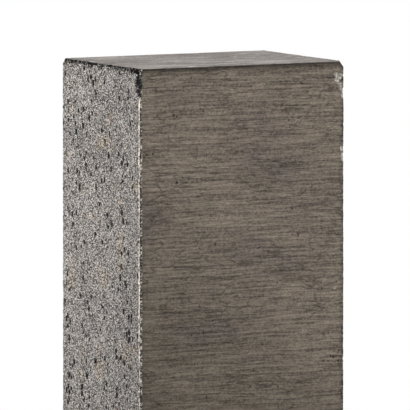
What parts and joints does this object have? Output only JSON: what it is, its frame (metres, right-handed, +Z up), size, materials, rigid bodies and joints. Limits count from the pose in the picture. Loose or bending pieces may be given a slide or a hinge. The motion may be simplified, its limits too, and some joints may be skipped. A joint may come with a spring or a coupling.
{
  "type": "precast concrete post",
  "caption": "Rectangular precast concrete post for low barriers and edging rows, set upright, with a cast-in steel cage.",
  "frame": {"origin": "middle of the bottom end face", "axes": "+Z up the post, +X across its broad faces, -Y out of the front broad face"},
  "size_m": [0.165, 0.12, 1],
  "materials": {
    "concrete": "cast grey concrete: open-textured narrow faces, drag-marked broad faces and ends",
    "reinforcing_steel": "mill scale with light rust",
    "tie_wire": "black annealed wire",
    "spacer_plastic": "grey moulded plastic"
  },
  "bodies": {
    "root": {"concrete_body": "concrete", "bar_front_left": "reinforcing_steel", "bar_front_right": "reinforcing_steel", "bar_back_left": "reinforcing_steel", "bar_back_right": "reinforcing_steel", "link_1": "reinforcing_steel", "link_2": "reinforcing_steel", "link_3": "reinforcing_steel", "link_4": "reinforcing_steel", "link_5": "reinforcing_steel", "link_6": "reinforcing_steel", "tie_wires_1": "tie_wire", "tie_wires_2": "tie_wire", "tie_wires_3": "tie_wire", "tie_wires_4": "tie_wire", "tie_wires_5": "tie_wire", "tie_wires_6": "tie_wire", "spacer_lower_front": "spacer_plastic", "spacer_lower_back": "spacer_plastic", "spacer_upper_front": "spacer_plastic", "spacer_upper_back": "spacer_plastic"}
  },
  "joints": []
}
